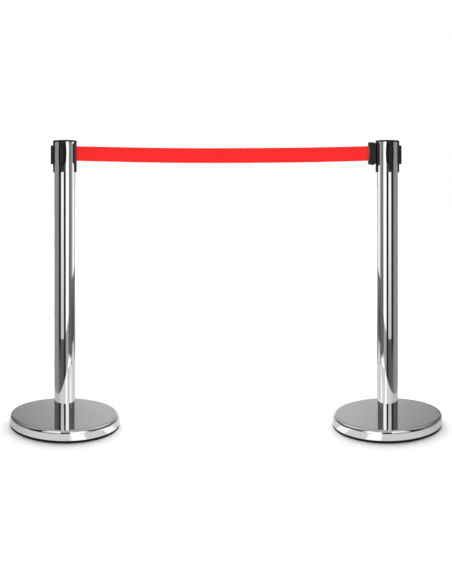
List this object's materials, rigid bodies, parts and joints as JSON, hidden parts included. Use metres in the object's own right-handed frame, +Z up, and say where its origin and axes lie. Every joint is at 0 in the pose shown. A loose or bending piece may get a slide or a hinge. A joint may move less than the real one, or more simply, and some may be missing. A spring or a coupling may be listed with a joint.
{
  "type": "retractable belt stanchion pair",
  "caption": "Pair of polished round posts on weighted disc bases, joined by a red retractable belt that clips to a rail on the receiving post.",
  "frame": {"origin": "on the floor, halfway between the two post axes", "axes": "+X from the post that feeds the belt to the post that receives it, +Y to the rear, +Z up"},
  "size_m": [1.328, 0.338, 0.88],
  "materials": {
    "polished_steel": "mirror-polished stainless steel",
    "cast_iron": "rough casting with black paint",
    "rubber": "matt black moulded rubber",
    "zinc_steel": "zinc-plated steel",
    "black_steel": "black oxide on steel screws",
    "black_plastic": "satin black moulded plastic with a fine texture",
    "pale_plastic": "natural moulded acetal",
    "spring_steel": "blued spring steel strip",
    "brass": "plain brass",
    "red_webbing": "woven polyester webbing, satin"
  },
  "bodies": {
    "feeding_post": {"left_base_weight": "cast_iron", "left_base_cover": "polished_steel", "left_floor_ring": "rubber", "left_anchor_bolt": "zinc_steel", "left_anchor_washer": "zinc_steel", "left_foot_plug": "zinc_steel", "left_tube": "polished_steel", "left_cassette_body": "black_plastic", "left_cassette_lid": "black_plastic", "left_belt_mouth": "black_plastic", "left_guide_pins": "zinc_steel", "left_spindle": "zinc_steel", "left_power_spring": "spring_steel", "left_spring_case": "black_plastic", "left_thrust_washer": "brass", "left_cap": "black_plastic", "left_cap_screw": "black_steel", "left_head_screws": "black_steel", "left_receiver_rear": "black_plastic", "left_receiver_outer": "black_plastic", "left_receiver_front": "black_plastic", "left_belt": "red_webbing"},
    "feeding_reel": {"left_spool": "pale_plastic", "left_belt_roll": "red_webbing"},
    "receiving_post": {"right_base_weight": "cast_iron", "right_base_cover": "polished_steel", "right_floor_ring": "rubber", "right_anchor_bolt": "zinc_steel", "right_anchor_washer": "zinc_steel", "right_foot_plug": "zinc_steel", "right_tube": "polished_steel", "right_cassette_body": "black_plastic", "right_cassette_lid": "black_plastic", "right_belt_mouth": "black_plastic", "right_guide_pins": "zinc_steel", "right_spindle": "zinc_steel", "right_power_spring": "spring_steel", "right_spring_case": "black_plastic", "right_thrust_washer": "brass", "right_cap": "black_plastic", "right_cap_screw": "black_steel", "right_head_screws": "black_steel", "right_receiver_inner": "black_plastic", "right_receiver_front": "black_plastic", "right_receiver_outer": "black_plastic", "right_belt": "red_webbing"},
    "receiving_reel": {"right_spool": "pale_plastic", "right_belt_roll": "red_webbing"},
    "docked_clip": {"left_clip_body": "black_plastic", "left_clip_pin": "zinc_steel", "left_belt_end": "red_webbing"},
    "parked_clip": {"right_clip_body": "black_plastic", "right_clip_pin": "zinc_steel"}
  },
  "joints": [
    {"name": "post_spacing", "type": "slide", "parent": "feeding_post", "child": "receiving_post", "axis": [1, 0, 0], "range_m": [-0.64, 0.97], "deforming": ["left_belt"]},
    {"name": "feeding_reel_turn", "type": "hinge", "parent": "feeding_post", "child": "feeding_reel", "pos_m": [-0.495, 0, 0.839], "axis": [0, 0, 1], "range_deg": [-1975, 2990]},
    {"name": "clip_lift", "type": "slide", "parent": "receiving_post", "child": "docked_clip", "axis": [0, 0, 1], "range_m": [0, 0.062], "deforming": ["left_belt_end"]},
    {"name": "belt_pull", "type": "slide", "parent": "receiving_post", "child": "parked_clip", "axis": [0, 1, 0], "range_m": [0, 1.88], "stiffness_N_per_m": 4, "springref_m": -2, "deforming": ["right_belt"]},
    {"name": "receiving_reel_turn", "type": "hinge", "parent": "receiving_post", "child": "receiving_reel", "pos_m": [0.495, 0, 0.839], "axis": [0, 0, 1], "range_deg": [0, 4560]}
  ],
  "couplings": [
    {"joint": "feeding_reel_turn", "follows": "post_spacing", "rad_per_m": 53.39},
    {"joint": "receiving_reel_turn", "follows": "belt_pull", "rad_per_m": 42.09}
  ]
}
